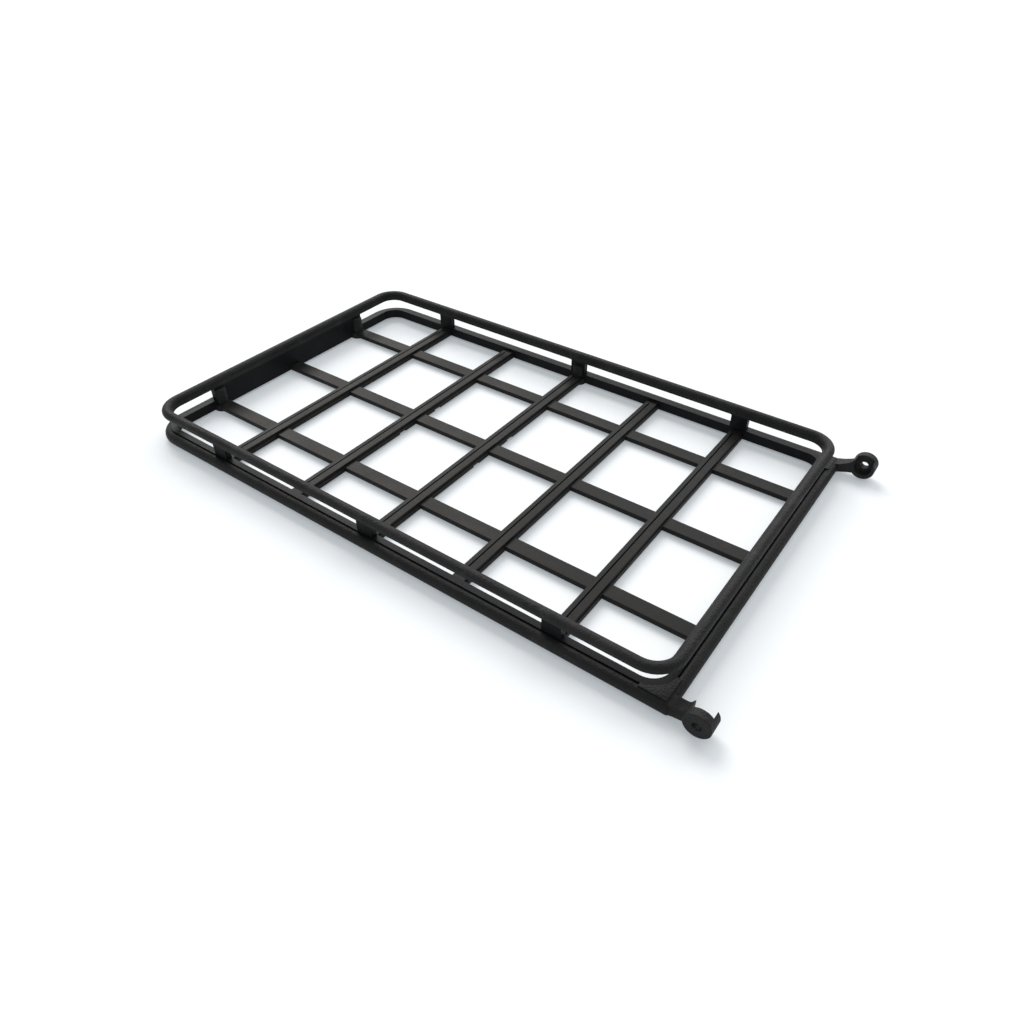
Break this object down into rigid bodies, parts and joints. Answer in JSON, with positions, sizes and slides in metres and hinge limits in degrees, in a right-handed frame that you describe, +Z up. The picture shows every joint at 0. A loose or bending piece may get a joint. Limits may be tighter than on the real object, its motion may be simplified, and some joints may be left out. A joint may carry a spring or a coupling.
{
  "type": "folding luggage rack",
  "caption": "Black folding luggage rack for a scale model vehicle: barred floor, flat band and rod frame, raised rod rail on posts, and drilled hinge ears on arms at one end.",
  "frame": {"origin": "centre of the footprint, on the plane the feet rest on", "axes": "+X along the rack towards the hinge ears, +Y across it, +Z up"},
  "size_m": [0.2592, 0.1536, 0.0149],
  "materials": {
    "frame_black": "fine grained, satin",
    "floor_black": "fine grained, matt"
  },
  "bodies": {
    "root": {"arm_far": "frame_black", "arm_near": "frame_black", "band": "frame_black", "boss_end_far": "frame_black", "boss_end_near": "frame_black", "boss_side_far": "frame_black", "boss_side_near": "frame_black", "crossbar_1": "floor_black", "crossbar_2": "floor_black", "crossbar_3": "floor_black", "crossbar_4": "floor_black", "crossbar_5": "floor_black", "ear_far": "frame_black", "ear_near": "frame_black", "end_rod": "frame_black", "gusset_far": "frame_black", "gusset_near": "frame_black", "post_far_1": "frame_black", "post_far_2": "frame_black", "post_far_3": "frame_black", "post_near_1": "frame_black", "post_near_2": "frame_black", "post_near_3": "frame_black", "side_rails": "frame_black", "slat_far": "floor_black", "slat_middle": "floor_black", "slat_near": "floor_black", "top_rail": "frame_black", "wind_panel": "frame_black"}
  },
  "joints": []
}
